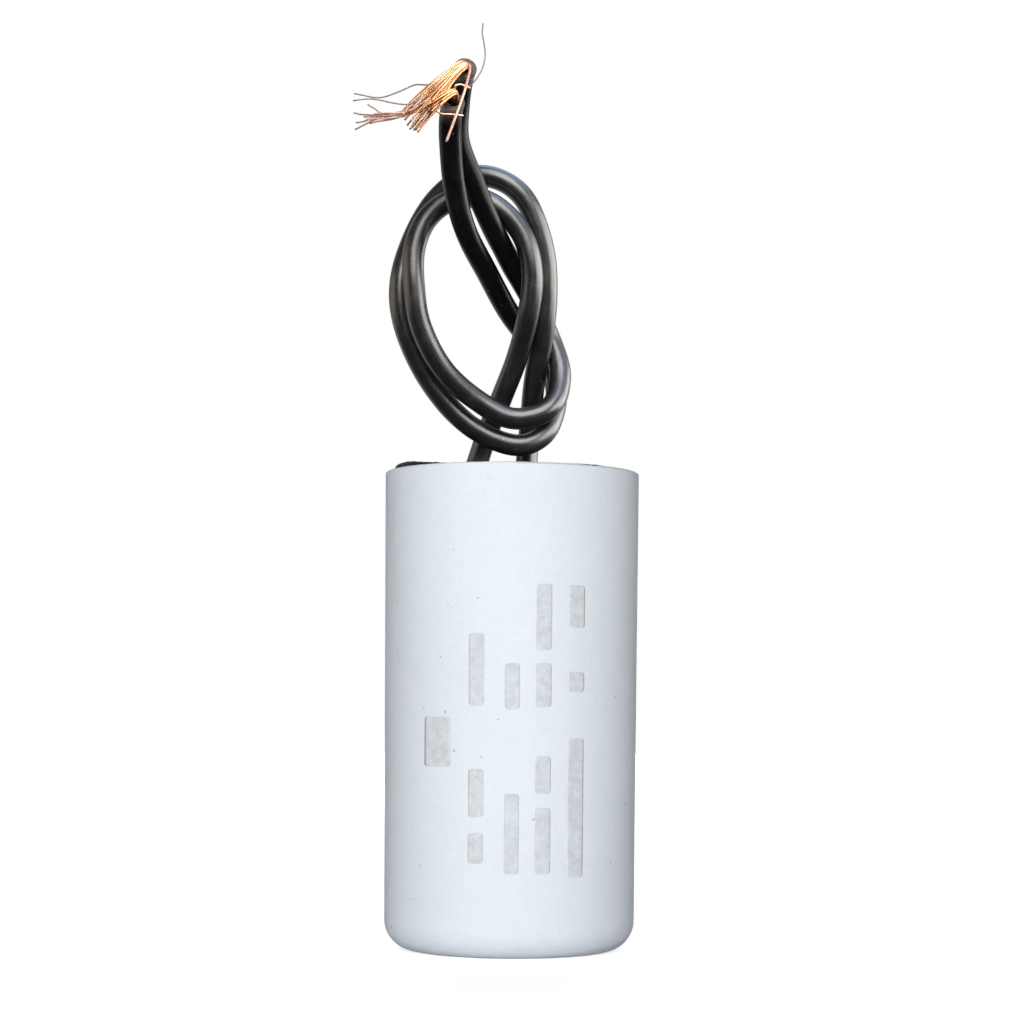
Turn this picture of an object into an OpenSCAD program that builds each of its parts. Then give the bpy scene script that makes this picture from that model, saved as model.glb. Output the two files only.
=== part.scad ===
// Motor run capacitor: a moulded plastic can, filled with black resin round a
// metallised film winding, with two insulated leads tied together in one overhand knot.
// Millimetres. +Z is up the can's axis, and the origin is the centre of its base.

/* [Can] */
// Outside diameter of the can at its open rim
can_d = 35; // [29:0.5:45]
// Height of the can
can_h = 65; // [54:0.5:90]
// How much narrower the can is at its base than at its rim
can_taper = 1; // [0:0.1:1.5]
// Thickness of the can's side wall
wall_t = 1.5; // [1:0.1:2]
// Thickness of the can's floor
floor_t = 1.8; // [1:0.1:3]
// Outside radius round the base
base_edge_r = 4; // [2:0.5:5]
// Radius on the outer edge of the rim
rim_edge_r = 0.3; // [0.1:0.05:0.5]
// Diameter of the recess that holds the moulding gate's mark
gate_recess_d = 6; // [4:0.5:10]
// Depth of that recess
gate_recess_depth = 0.4; // [0.2:0.1:0.8]
// Diameter of the gate's mark
gate_mark_d = 1.6; // [1:0.1:2.5]

/* [Winding] */
// Gap between the finished winding and the can's wall, at the can's foot
winding_gap = 1.25; // [1:0.05:3.5]
// Depth of resin over the winding's top end, up to the rim
winding_cover = 12.4; // [10:0.1:16]
// Outside diameter of the core tube that the film is rolled on
core_d = 10; // [9.5:0.1:14]
// Wall of the core tube
core_wall = 1; // [0.6:0.1:1.2]
// Thickness of the plain film wrapped round the outside
wrap_t = 0.5; // [0.2:0.1:1]
// Thickness of the sprayed zinc on each end
spray_t = 0.6; // [0.3:0.1:1]
// Gap under the winding for the lead that is soldered there
winding_lift = 3.6; // [3:0.1:6]

/* [Potting] */
// How far the cured resin's middle stands above the rim
crown_h = 0.3; // [0.1:0.1:0.8]
// Height of the bead of resin that ran onto the rim
bead_h = 0.5; // [0.3:0.05:0.8]
// How far the bead reaches inward past the wall
bead_overlap = 0.4; // [0.2:0.1:0.8]
// How much of the rim the bead covers, in degrees
bead_angle = 52; // [20:1:90]

/* [Leads] */
// Outside diameter of each insulated lead
lead_d = 3; // [2.4:0.1:3]
// Diameter of the tinned conductor where it is soldered to the winding
tail_d = 1.2; // [0.8:0.1:1.4]
// How far the conductor is stripped inside the core
tail_strip = 1.5; // [1:0.1:4]
// Reach of the lower conductor across the winding's end
tail_reach = 6; // [4.5:0.5:8]
// Bend radius of the lower conductor
tail_bend_r = 1.5; // [1.2:0.1:2]
// Diameter of each solder joint
joint_d = 4.6; // [3.5:0.1:6]
// Height of each solder joint
joint_h = 1.7; // [1.5:0.1:2]
// Thickness of solder between the lower conductor and the zinc
joint_film = 0.15; // [0.1:0.05:0.3]

/* [Strands] */
// Diameter of one copper strand
strand_d = 0.24; // [0.16:0.02:0.26]
// Spacing of the strands where they leave the insulation
strand_pitch = 0.32; // [0.28:0.01:0.34]
// Twist of each bundle over its length, in degrees
strand_twist = 40; // [0:5:60]
// Twist of the long bunch beyond its bundle, in degrees at each of its points
bunch_twist = 60; // [0:5:80]

/* [Hidden] */
$fn = 96;
eps = 0.01;

can_r = can_d / 2;
base_r = can_r - can_taper / 2;
core_r = core_d / 2;
bore_r = core_r - core_wall;
winding_r = base_r - wall_t - winding_gap;

// Levels up the can's axis
winding_z = floor_t + winding_lift;
film_z = winding_z + spray_t;
winding_top_z = can_h - winding_cover;
film_top_z = winding_top_z - spray_t;

// Sides on a lead and on a strand, and rings along each lead
lead_sides = 8;
strand_sides = 5;
lead_rings = 38;

// How far past the lead's cut end the strands start, and how far they run straight
strand_start = 0.05;
strand_straight = 0.9;

// Rings on a strand for each point of its route
strand_rings = 2;

// Route of the lead from the winding's top end, measured up from the rim's plane.
// It rises, turns over to the left, comes round below and up again, and ends in front.
top_route = [
    [-7.5, 0, -7], [-6.5, 0, -4], [-5, 0, 1], [-3.5, -0.5, 5.5], [-1.5, -1.5, 10.5],
    [0.5, -4.5, 15.5], [2, -7.5, 21], [2.5, -8.5, 26.5], [1, -8.5, 32], [-3, -8.5, 36],
    [-7.5, -8, 37], [-11.5, -8, 34.5], [-13.5, -8.5, 30], [-13.5, -9, 24.5],
    [-12.5, -8.5, 19], [-9.5, -7.5, 13.5], [-5, -6.5, 9.5], [0, -6, 7], [5, -5, 8.5],
    [6.5, -2, 13.5], [5, -0.5, 19], [2.5, -2, 24], [-0.5, -6, 28.5], [-3.5, -11, 33.5],
    [-5.5, -13.5, 38], [-7.5, -15.5, 43], [-7.5, -17, 47.5], [-7, -19, 50.5], [-6.5, -21.5, 51.5]
];

// Route of the lead from the winding's bottom end, which comes up through the core
bottom_route = [
    [2, 0.5, -7], [2, 0.5, -3], [2, 0.5, 2], [2.5, 0.5, 7.5], [3, -1.5, 13],
    [4, -4.5, 18.5], [4.5, -5.5, 24], [4, -6, 30.5], [1.5, -6.5, 37], [-2.5, -6.5, 40],
    [-7, -6, 40], [-11, -5, 37], [-14, -5, 31.5], [-15.5, -6, 25.5], [-15, -6, 20],
    [-12.5, -5, 14], [-8.5, -4.5, 8.5], [-4, -4.5, 5], [1, -4.5, 3.5], [4.5, -3, 5.5],
    [6, 0, 10], [5.5, 1.5, 14], [3, 2, 18], [-0.5, -2, 22], [-3.5, -7.5, 26.5],
    [-6.5, -13, 31.5], [-8, -16, 37], [-8.5, -18.5, 42], [-8.5, -20.5, 45], [-8, -23.5, 46.5]
];

// Routes of the bare conductors past the leads' cut ends: a point, and how far the
// strands have spread there to each side and in depth, as multiples of their spacing
top_bundle = [
    [-7, -24, 51.5, 1, 1], [-8, -25, 50, 1.1, 1], [-9.5, -25.5, 48, 1.3, 1.1],
    [-11, -25.5, 46.5, 1.7, 1.2], [-12.5, -25.5, 44.5, 2.2, 1.3], [-13.5, -25.5, 43.5, 2.5, 1.4]
];
bottom_bundle = [
    [-8, -26, 47, 1, 1], [-9, -27, 46, 1, 1], [-10.5, -27.5, 44.5, 1.2, 1.1],
    [-12, -27.5, 43, 1.6, 1.2]
];

// The middle strands of the top lead run on past their bundle as one twisted bunch
top_bunch = [
    [-15, -25.5, 43.5, 1.8, 1.3], [-16.5, -25.5, 43.5, 1.3, 1.2],
    [-18.5, -25.5, 43.5, 1.2, 1.2], [-20.5, -25.5, 43, 1.7, 1.4]
];

// Loose strands: their place in the conductor, how many points of its bundle they
// follow, and the points of their own route
top_loose = [
    [13, 3, [[-11.5, -24.5, 48.5], [-13, -24, 48.5], [-15, -24, 47.5], [-17, -24, 47],
        [-19, -24, 47], [-21, -24, 47]]],
    [12, 4, [[-14, -25.5, 45.5], [-16, -25.5, 45.5], [-18.5, -25.5, 46], [-21, -25.5, 46]]],
    [7, 0, [[-6, -24, 50.5], [-6, -25.5, 49], [-6.5, -27, 47], [-7.5, -28, 44], [-9, -28.5, 40]]]
];
bottom_loose = [
    [8, 0, [[-6.5, -25.5, 48], [-6, -24, 48.5], [-5.5, -21.5, 49.5], [-4.5, -20, 51.5],
        [-4, -19, 54], [-4.5, -19, 56], [-4.5, -19, 58]]]
];

// ---- Vectors and curves ----

function unit(v) = v / norm(v);

// A point on the smooth curve through p, where t counts the points
function on_curve(p, t) =
    let (
        last = len(p) - 1,
        i = min(floor(t), last - 1),
        u = t - i,
        a = i > 0 ? p[i - 1] : 2 * p[0] - p[1],
        b = p[i],
        c = p[i + 1],
        d = i + 2 <= last ? p[i + 2] : 2 * p[last] - p[last - 1]
    )
    0.5 * (2 * b + (c - a) * u + (2 * a - 5 * b + 4 * c - d) * u * u
        + (3 * b - a - 3 * c + d) * u * u * u);

// The curve's points at even steps of t
function curve(p, steps) =
    [for (i = [0 : steps]) on_curve(p, i * (len(p) - 1) / steps)];

// The directions in which a lead leaves its first point and its last
function start_direction(route) =
    let (c = curve(route, lead_rings - 1))
    unit(c[1] - c[0]);
function end_direction(route) =
    let (c = curve(route, lead_rings - 1))
    unit(c[lead_rings - 1] - c[lead_rings - 2]);

// The direction of a line of points at each of them
function tangents(c) =
    [for (i = [0 : len(c) - 1])
        unit(c[min(i + 1, len(c) - 1)] - c[max(i - 1, 0)])];

// One side direction carried along the line, so that a swept tube doesn't twist
function carried(t, i, side) =
    i == len(t) ? []
    : let (s = unit(side - (side * t[i]) * t[i]))
      concat([s], carried(t, i + 1, s));

function ring(centre, along, side, r, sides) =
    let (other = cross(along, side))
    [for (k = [0 : sides - 1])
        centre + r * (cos(k * 360 / sides) * side + sin(k * 360 / sides) * other)];

// All the points of a tube of radius r along the line c
function tube_points(c, r, sides, side) =
    let (t = tangents(c), s = carried(t, 0, side))
    [for (i = [0 : len(c) - 1]) each ring(c[i], t[i], s[i], r, sides)];

// Its faces, where its first point has the number "first"
function tube_faces(rings, sides, first) = concat(
    [for (k = [1 : sides - 2]) [first, first + k, first + k + 1]],
    [for (i = [0 : rings - 2], k = [0 : sides - 1])
        let (
            a = first + i * sides + k,
            b = first + i * sides + (k + 1) % sides
        )
        each [[a, a + sides, b + sides], [a, b + sides, b]]],
    let (e = first + (rings - 1) * sides)
    [for (k = [1 : sides - 2]) [e, e + k + 1, e + k]]
);

module tube(c, r, sides, side = [0, 1, 0]) {
    polyhedron(tube_points(c, r, sides, side), tube_faces(len(c), sides, 0));
}

// Several separate tubes with as many rings each
module tubes(lines, r, sides, side) {
    polyhedron(
        [for (c = lines) each tube_points(c, r, sides, side)],
        [for (i = [0 : len(lines) - 1])
            each tube_faces(len(lines[i]), sides, i * len(lines[i]) * sides)]
    );
}

// ---- Can ----

// Radius of the can's outside at height z
function outside_r(z) = base_r + (can_r - base_r) * z / can_h;

// Half of the can's section from z0 up, set in by t, with its lower edge rounded to r
module can_section(t, z0, r, top_z) {
    wall_foot = outside_r(z0) - t;
    wall_head = outside_r(top_z) - t;
    polygon(concat(
        [[0, z0]],
        [for (a = [0 : 7.5 : 90])
            [wall_foot - r + r * sin(a), z0 + r - r * cos(a)]],
        [[wall_head, top_z], [0, top_z]]
    ));
}

module case() {
    color("whitesmoke")
    difference() {
        rotate_extrude()
        can_section(0, 0, base_edge_r, can_h);
        rotate_extrude()
        can_section(wall_t, floor_t, base_edge_r - wall_t, can_h + eps);
        rim_break();
        translate([0, 0, -eps])
        difference() {
            cylinder(d = gate_recess_d, h = gate_recess_depth + eps);
            cylinder(d = gate_mark_d, h = gate_recess_depth + 2 * eps);
        }
        translate([0, 0, -eps])
        cylinder(d = gate_mark_d + eps, h = gate_recess_depth / 3);
    }
}

// What the rounded edge takes off the rim's outer corner
module rim_break() {
    rotate_extrude()
    difference() {
        translate([can_r - rim_edge_r, can_h - rim_edge_r])
        square(2 * rim_edge_r);
        translate([can_r - rim_edge_r, can_h - rim_edge_r])
        circle(rim_edge_r, $fn = 32);
    }
}

// ---- Potting ----

// The resin's domed top, whose edge is at the rim's plane
module crown() {
    r = can_r - wall_t;
    dome_r = (r * r + crown_h * crown_h) / (2 * crown_h);
    translate([0, 0, can_h])
    rotate_extrude()
    polygon(concat(
        [[0, -crown_h], [r - crown_h, -crown_h]],
        [for (i = [0 : 8])
            let (x = r * (1 - i / 8))
            [x, sqrt(dome_r * dome_r - x * x) - (dome_r - crown_h)]]
    ));
}

// The bead that ran over the rim at the left of the front
module rim_bead() {
    w = wall_t - rim_edge_r + bead_overlap;
    arc_r = (w * w / 4 + bead_h * bead_h) / (2 * bead_h);
    translate([0, 0, can_h])
    rotate([0, 0, 186])
    rotate_extrude(angle = bead_angle)
    intersection() {
        translate([can_r - rim_edge_r - w / 2, bead_h - arc_r])
        circle(arc_r, $fn = 48);
        translate([can_r - rim_edge_r - w, 0])
        square([w, bead_h]);
    }
}

module potting_resin() {
    color("#1b1b1d")
    difference() {
        union() {
            rotate_extrude()
            can_section(wall_t, floor_t, base_edge_r - wall_t, can_h);
            intersection() {
                crown();
                cylinder(r = can_r - wall_t, h = can_h + crown_h + eps);
            }
            rim_bead();
        }
        difference() {
            translate([0, 0, winding_z])
            cylinder(r = winding_r, h = winding_top_z - winding_z);
            translate([0, 0, winding_z - eps])
            cylinder(r = bore_r, h = winding_top_z - winding_z + 2 * eps);
        }
        top_joint_dome();
        bottom_joint_dome();
        top_tail_rod();
        bottom_tail_rod();
        top_tube();
        bottom_tube();
    }
}

// ---- Winding ----

// A ring from radius r0 to r1 and from z0 to z1
module ring_solid(r0, r1, z0, z1) {
    difference() {
        translate([0, 0, z0])
        cylinder(r = r1, h = z1 - z0);
        translate([0, 0, z0 - eps])
        cylinder(r = r0, h = z1 - z0 + 2 * eps);
    }
}

module winding_core() {
    color("gainsboro")
    ring_solid(bore_r, core_r, winding_z, winding_top_z);
}

module film_winding() {
    color("lightgray")
    ring_solid(core_r, winding_r - wrap_t, film_z, film_top_z);
}

module winding_wrap() {
    color("khaki")
    ring_solid(winding_r - wrap_t, winding_r, film_z, film_top_z);
}

module top_end_spray() {
    color("darkgray")
    ring_solid(core_r, winding_r, film_top_z, winding_top_z);
}

module bottom_end_spray() {
    color("darkgray")
    ring_solid(core_r, winding_r, winding_z, film_z);
}

// ---- Leads inside the can ----

// Where the top lead's insulation ends, and where its conductor meets the zinc
top_root = [top_route[0][0], top_route[0][1], can_h + top_route[0][2]];
top_lean = start_direction(top_route);
top_foot = top_root - top_lean * (top_root[2] - winding_top_z) / top_lean[2];

bottom_x = bottom_route[0][0];
bottom_y = bottom_route[0][1];
bottom_wire_z = winding_z - joint_film - tail_d / 2;
bottom_cut_z = winding_z + tail_strip;

module top_tail_rod() {
    lean = acos(top_lean[2]);
    difference() {
        translate(top_root)
        rotate([0, 180 + lean, 0])
        cylinder(d = tail_d, h = norm(top_root - top_foot) + tail_d, $fn = 32);
        translate([0, 0, winding_top_z - 2 * tail_d])
        cylinder(r = winding_r, h = 2 * tail_d);
    }
}

module bottom_tail_rod() {
    translate([bottom_x, bottom_y, bottom_wire_z])
    union() {
        translate([0, 0, tail_bend_r])
        cylinder(d = tail_d, h = bottom_cut_z - bottom_wire_z - tail_bend_r, $fn = 32);
        translate([tail_bend_r, 0, tail_bend_r])
        rotate([90, 0, 0])
        rotate([0, 0, 180])
        rotate_extrude(angle = 90)
        translate([tail_bend_r, 0])
        circle(d = tail_d, $fn = 32);
        translate([tail_bend_r, 0, 0])
        rotate([0, 90, 0])
        cylinder(d = tail_d, h = tail_reach, $fn = 32);
    }
}

// A cap of a sphere, joint_d across and joint_h high, standing on z = 0
module joint_dome() {
    ball_r = (joint_d * joint_d / 4 + joint_h * joint_h) / (2 * joint_h);
    intersection() {
        translate([0, 0, joint_h - ball_r])
        sphere(ball_r, $fn = 48);
        cylinder(r = joint_d, h = joint_h + eps);
    }
}

module top_joint_dome() {
    translate([top_foot[0], top_foot[1], winding_top_z])
    joint_dome();
}

module bottom_joint_dome() {
    translate([bottom_x + tail_bend_r + tail_reach - joint_d / 2, bottom_y, winding_z])
    mirror([0, 0, 1])
    joint_dome();
}

module top_lead_tail() {
    color("silver")
    top_tail_rod();
}

module bottom_lead_tail() {
    color("silver")
    bottom_tail_rod();
}

module top_solder_joint() {
    color("slategray")
    difference() {
        top_joint_dome();
        top_tail_rod();
    }
}

module bottom_solder_joint() {
    color("slategray")
    difference() {
        bottom_joint_dome();
        bottom_tail_rod();
    }
}

// ---- Leads outside the can ----

module top_tube() {
    translate([0, 0, can_h])
    tube(curve(top_route, lead_rings - 1), lead_d / 2, lead_sides);
}

// Its first ring is down the core, where the insulation is cut back
module bottom_tube() {
    cut = [bottom_x, bottom_y, bottom_cut_z - can_h];
    translate([0, 0, can_h])
    tube(concat([cut], curve(bottom_route, lead_rings - 1)), lead_d / 2, lead_sides);
}

module top_lead() {
    color("#222222")
    top_tube();
}

module bottom_lead() {
    color("#222222")
    bottom_tube();
}

// Places of the strands in a conductor: one, six round it, twelve round those
strand_places = concat(
    [[0, 0]],
    [for (ring_no = [1, 2], k = [0 : 6 * ring_no - 1])
        ring_no * strand_pitch * [cos(k * 60 / ring_no), sin(k * 60 / ring_no)]]
);

// The places of the inner seven strands, and of those outer ones that aren't loose
inner_places = [for (i = [0 : 6]) strand_places[i]];
function outer_places(loose) =
    [for (i = [7 : 18])
        if (len([for (strand = loose) if (strand[0] == i) i]) == 0) strand_places[i]];

// The direction square to the plane in which a bundle bends away from its lead
function bundle_side(lead_route, bundle) =
    let (end = bundle[len(bundle) - 1])
    unit(cross(
        end_direction(lead_route),
        [end[0], end[1], end[2]] - lead_route[len(lead_route) - 1]
    ));

// The strands' lines from their lead's cut end, which they leave straight, along
// their bundle's route and then along a bunch's
function strand_lines(lead_route, bundle, bunch, places) =
    let (
        cut = lead_route[len(lead_route) - 1],
        out = end_direction(lead_route),
        starts = [for (d = [strand_start, strand_straight / 2, strand_straight])
            concat(cut + d * out, [1, 1])],
        last = len(starts) + len(bundle) - 1,
        way = concat(starts, bundle, bunch),
        steps = strand_rings * (len(way) - 1),
        c = curve(way, steps),
        t = tangents([for (p = c) [p[0], p[1], p[2]]]),
        side = carried(t, 0, bundle_side(lead_route, bundle))
    )
    [for (place = places)
        [for (i = [0 : steps])
            let (
                at = i / strand_rings,
                turn = strand_twist * min(at / last, 1) + bunch_twist * max(at - last, 0),
                x = place[0] * cos(turn) - place[1] * sin(turn),
                y = place[0] * sin(turn) + place[1] * cos(turn)
            )
            [c[i][0], c[i][1], c[i][2]]
                + c[i][3] * x * side[i] + c[i][4] * y * cross(t[i], side[i])]];

// A loose strand's line, which leaves its bundle for its own route
function loose_line(lead_route, bundle, strand) =
    let (
        line = strand_lines(lead_route, bundle, [], [strand_places[strand[0]]])[0],
        shared = [for (i = [0 : strand[1] + 2]) line[i * strand_rings]],
        p = concat(shared, strand[2])
    )
    curve(p, strand_rings * (len(p) - 1));

module strands(lines) {
    tubes(lines, strand_d / 2, strand_sides, [0.3, 0.9, 0.2]);
}

module bundle_strands(lead_route, bundle, bunch, loose) {
    translate([0, 0, can_h]) {
        strands(strand_lines(lead_route, bundle, bunch, inner_places));
        strands(strand_lines(lead_route, bundle, [], outer_places(loose)));
        for (strand = loose)
            strands([loose_line(lead_route, bundle, strand)]);
    }
}

module top_lead_strands() {
    color("peru")
    bundle_strands(top_route, top_bundle, top_bunch, top_loose);
}

module bottom_lead_strands() {
    color("peru")
    bundle_strands(bottom_route, bottom_bundle, [], bottom_loose);
}

case();
potting_resin();
winding_core();
film_winding();
winding_wrap();
top_end_spray();
bottom_end_spray();
top_solder_joint();
bottom_solder_joint();
top_lead();
top_lead_tail();
top_lead_strands();
bottom_lead();
bottom_lead_tail();
bottom_lead_strands();
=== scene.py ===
# The motor run capacitor's looks: finer leads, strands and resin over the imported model,
# printed bars, the materials, a pale floor and soft studio light. Metres, in the model's frame.
import math
import random

import bpy
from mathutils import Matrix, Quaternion, Vector, noise


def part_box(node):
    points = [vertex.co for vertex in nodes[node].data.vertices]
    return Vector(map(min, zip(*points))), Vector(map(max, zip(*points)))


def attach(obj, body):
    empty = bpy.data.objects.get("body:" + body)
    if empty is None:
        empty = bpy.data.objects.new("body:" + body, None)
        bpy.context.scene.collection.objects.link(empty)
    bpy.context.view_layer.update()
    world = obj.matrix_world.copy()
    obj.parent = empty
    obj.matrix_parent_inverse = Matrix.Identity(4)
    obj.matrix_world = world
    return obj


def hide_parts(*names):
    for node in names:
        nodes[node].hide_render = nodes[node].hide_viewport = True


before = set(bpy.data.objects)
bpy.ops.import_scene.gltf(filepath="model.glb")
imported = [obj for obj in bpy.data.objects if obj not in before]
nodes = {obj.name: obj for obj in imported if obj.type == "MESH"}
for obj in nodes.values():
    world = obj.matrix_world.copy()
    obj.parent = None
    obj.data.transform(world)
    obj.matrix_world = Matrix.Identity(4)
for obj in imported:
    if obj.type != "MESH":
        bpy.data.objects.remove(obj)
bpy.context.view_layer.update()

MM = 0.001
rng = random.Random(7)
case_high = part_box("case")[1]
RIM = case_high.z
CAN_R = case_high.x
TAPER = 0.5 * MM  # how much smaller the can's radius is at its base
WALL = 1.5 * MM
FLOOR_T = 1.8 * MM
RIM_EDGE = 0.3 * MM  # radius of the rim's outer edge
CROWN = 0.3 * MM  # how far the resin stands up in its middle
WINDING_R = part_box("winding_wrap")[1].x
WINDING_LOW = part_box("bottom_end_spray")[0].z
WINDING_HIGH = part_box("top_end_spray")[1].z
CORE_BORE_R = 4 * MM

LEAD_R = 1.5 * MM
STRAND_R = 0.11 * MM
CONDUCTOR = 1.1 * MM  # across the strands together

# ---- Camera: level with the middle of the can, tilted a little up ----

camera = bpy.data.objects.new("camera", bpy.data.cameras.new("camera"))
bpy.context.scene.collection.objects.link(camera)
camera.data.sensor_width = 36
camera.data.lens = 86
camera.data.clip_start = 0.01
camera.data.clip_end = 100
CAMERA_TILT = math.radians(4.53)
CAMERA_ROLL = 0.0076
camera.location = (0, -0.337, 0.033)
camera.rotation_mode = "QUATERNION"
camera.rotation_quaternion = (
    Quaternion((1, 0, 0), math.pi / 2 + CAMERA_TILT) @ Quaternion((0, 0, 1), CAMERA_ROLL)
)
bpy.context.scene.camera = camera

# ---- Routes, in millimetres up from the rim's plane, as in the part's source ----

TOP_ROUTE = [
    (-7.5, 0, -7), (-6.5, 0, -4), (-5, 0, 1), (-3.5, -0.5, 5.5), (-1.5, -1.5, 10.5),
    (0.5, -4.5, 15.5), (2, -7.5, 21), (2.5, -8.5, 26.5), (1, -8.5, 32), (-3, -8.5, 36),
    (-7.5, -8, 37), (-11.5, -8, 34.5), (-13.5, -8.5, 30), (-13.5, -9, 24.5),
    (-12.5, -8.5, 19), (-9.5, -7.5, 13.5), (-5, -6.5, 9.5), (0, -6, 7), (5, -5, 8.5),
    (6.5, -2, 13.5), (5, -0.5, 19), (2.5, -2, 24), (-0.5, -6, 28.5), (-3.5, -11, 33.5),
    (-5.5, -13.5, 38), (-7.5, -15.5, 43), (-7.5, -17, 47.5), (-7, -19, 50.5),
    (-6.5, -21.5, 51.5),
]
BOTTOM_ROUTE = [
    (2, 0.5, -7), (2, 0.5, -3), (2, 0.5, 2), (2.5, 0.5, 7.5), (3, -1.5, 13),
    (4, -4.5, 18.5), (4.5, -5.5, 24), (4, -6, 30.5), (1.5, -6.5, 37), (-2.5, -6.5, 40),
    (-7, -6, 40), (-11, -5, 37), (-14, -5, 31.5), (-15.5, -6, 25.5), (-15, -6, 20),
    (-12.5, -5, 14), (-8.5, -4.5, 8.5), (-4, -4.5, 5), (1, -4.5, 3.5), (4.5, -3, 5.5),
    (6, 0, 10), (5.5, 1.5, 14), (3, 2, 18), (-0.5, -2, 22), (-3.5, -7.5, 26.5),
    (-6.5, -13, 31.5), (-8, -16, 37), (-8.5, -18.5, 42), (-8.5, -20.5, 45),
    (-8, -23.5, 46.5),
]
BURIED = 4 * MM  # how much of each lead is drawn below the resin
FADE = 6 * MM  # how far the finish and its painted shade take to go from the knot's to the free ends'
FADE_STEPS = 6


def place(point):
    """The place in metres of a point given in millimetres, up from the rim's plane."""
    return Vector((point[0] * MM, point[1] * MM, RIM + point[2] * MM))


# ---- Curves and tubes ----

CURVE_STEPS = 24  # steps between two points of a curve, before it is spaced evenly


def on_curve(p, t):
    """A point on the uniform Catmull-Rom curve through p, where t counts the points."""
    last = len(p) - 1
    i = min(int(t), last - 1)
    u = t - i
    a = p[i - 1] if i > 0 else 2 * p[0] - p[1]
    b, c = p[i], p[i + 1]
    d = p[i + 2] if i + 2 <= last else 2 * p[last] - p[last - 1]
    return 0.5 * (
        2 * b + (c - a) * u + (2 * a - 5 * b + 4 * c - d) * u * u
        + (3 * b - a - 3 * c + d) * u * u * u
    )


def smooth_line(p, count):
    """The curve through p as count points at even distances."""
    steps = (len(p) - 1) * CURVE_STEPS
    c = [on_curve(p, i / CURVE_STEPS) for i in range(steps + 1)]
    run = [0.0]
    for i in range(steps):
        run.append(run[-1] + (c[i + 1] - c[i]).length)
    out, k = [], 0
    for i in range(count):
        s = run[-1] * i / (count - 1)
        while k < steps - 1 and run[k + 1] < s:
            k += 1
        f = (s - run[k]) / max(run[k + 1] - run[k], 1e-12)
        out.append(c[k].lerp(c[k + 1], f))
    return out


def tangents(c):
    return [
        (c[min(i + 1, len(c) - 1)] - c[max(i - 1, 0)]).normalized() for i in range(len(c))
    ]


def carried(t, side):
    """One side direction carried along the line, so that a tube doesn't twist."""
    out = []
    for d in t:
        side = (side - side.dot(d) * d).normalized()
        out.append(side)
    return out


def new_object(name, verts, faces, smooth=True):
    mesh = bpy.data.meshes.new(name)
    mesh.from_pydata([tuple(v) for v in verts], [], faces)
    mesh.validate()
    if smooth:
        mesh.polygons.foreach_set("use_smooth", [True] * len(mesh.polygons))
    obj = bpy.data.objects.new(name, mesh)
    bpy.context.scene.collection.objects.link(obj)
    return obj


def set_uv(obj, uv):
    """Gives every corner its vertex's (u, v)."""
    layer = obj.data.uv_layers.new(name="along")
    for loop in obj.data.loops:
        layer.data[loop.index].uv = uv[loop.vertex_index]


def mark(obj, attribute, values):
    """Stores a number at each vertex for a material to read."""
    obj.data.attributes.new(attribute, "FLOAT", "POINT").data.foreach_set("value", values)


def tube_faces(rings):
    """The faces of a tube through rings of vertices, ring by ring, and then its two ends."""
    faces = []
    for a, b in zip(rings, rings[1:]):
        for k in range(len(a)):
            j = (k + 1) % len(a)
            faces.append((a[k], a[j], b[j], b[k]))
    return faces + [tuple(reversed(rings[0])), tuple(rings[-1])]


# ---- Leads ----

LEAD_POINTS = 420  # along a whole route
LEAD_SIDES = 40
LEAD_UNEVEN, CUT_UNEVEN = 0.035 * MM, 0.02 * MM  # how far the surface wanders from round
UNEVEN_SCALE = 260
TEXTURE_RUN = 20 * MM  # the length of lead that its texture spans
TIP_RUN = 3.2 * MM  # over how much of the lead the browning of its cut end fades out

# The rings of a cut end: how far behind its plane each lies, and its radius, in millimetres.
# The first ones round the edge off, the next ones are the cut face, and the rest is the bore.
CUT_RINGS = (
    (0.16, 1.495), (0.06, 1.46), (0.015, 1.41), (0, 1.35), (0.03, 0.86), (0.08, 0.78),
    (0.3, 0.74), (2.2, 0.72),
)
EDGE_RINGS, FACE_RINGS = 3, 2
PVC_SLOT, CUT_SLOT, BORE_SLOT, FADING_SLOT = range(4)  # the last is the first of the fading ones


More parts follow.
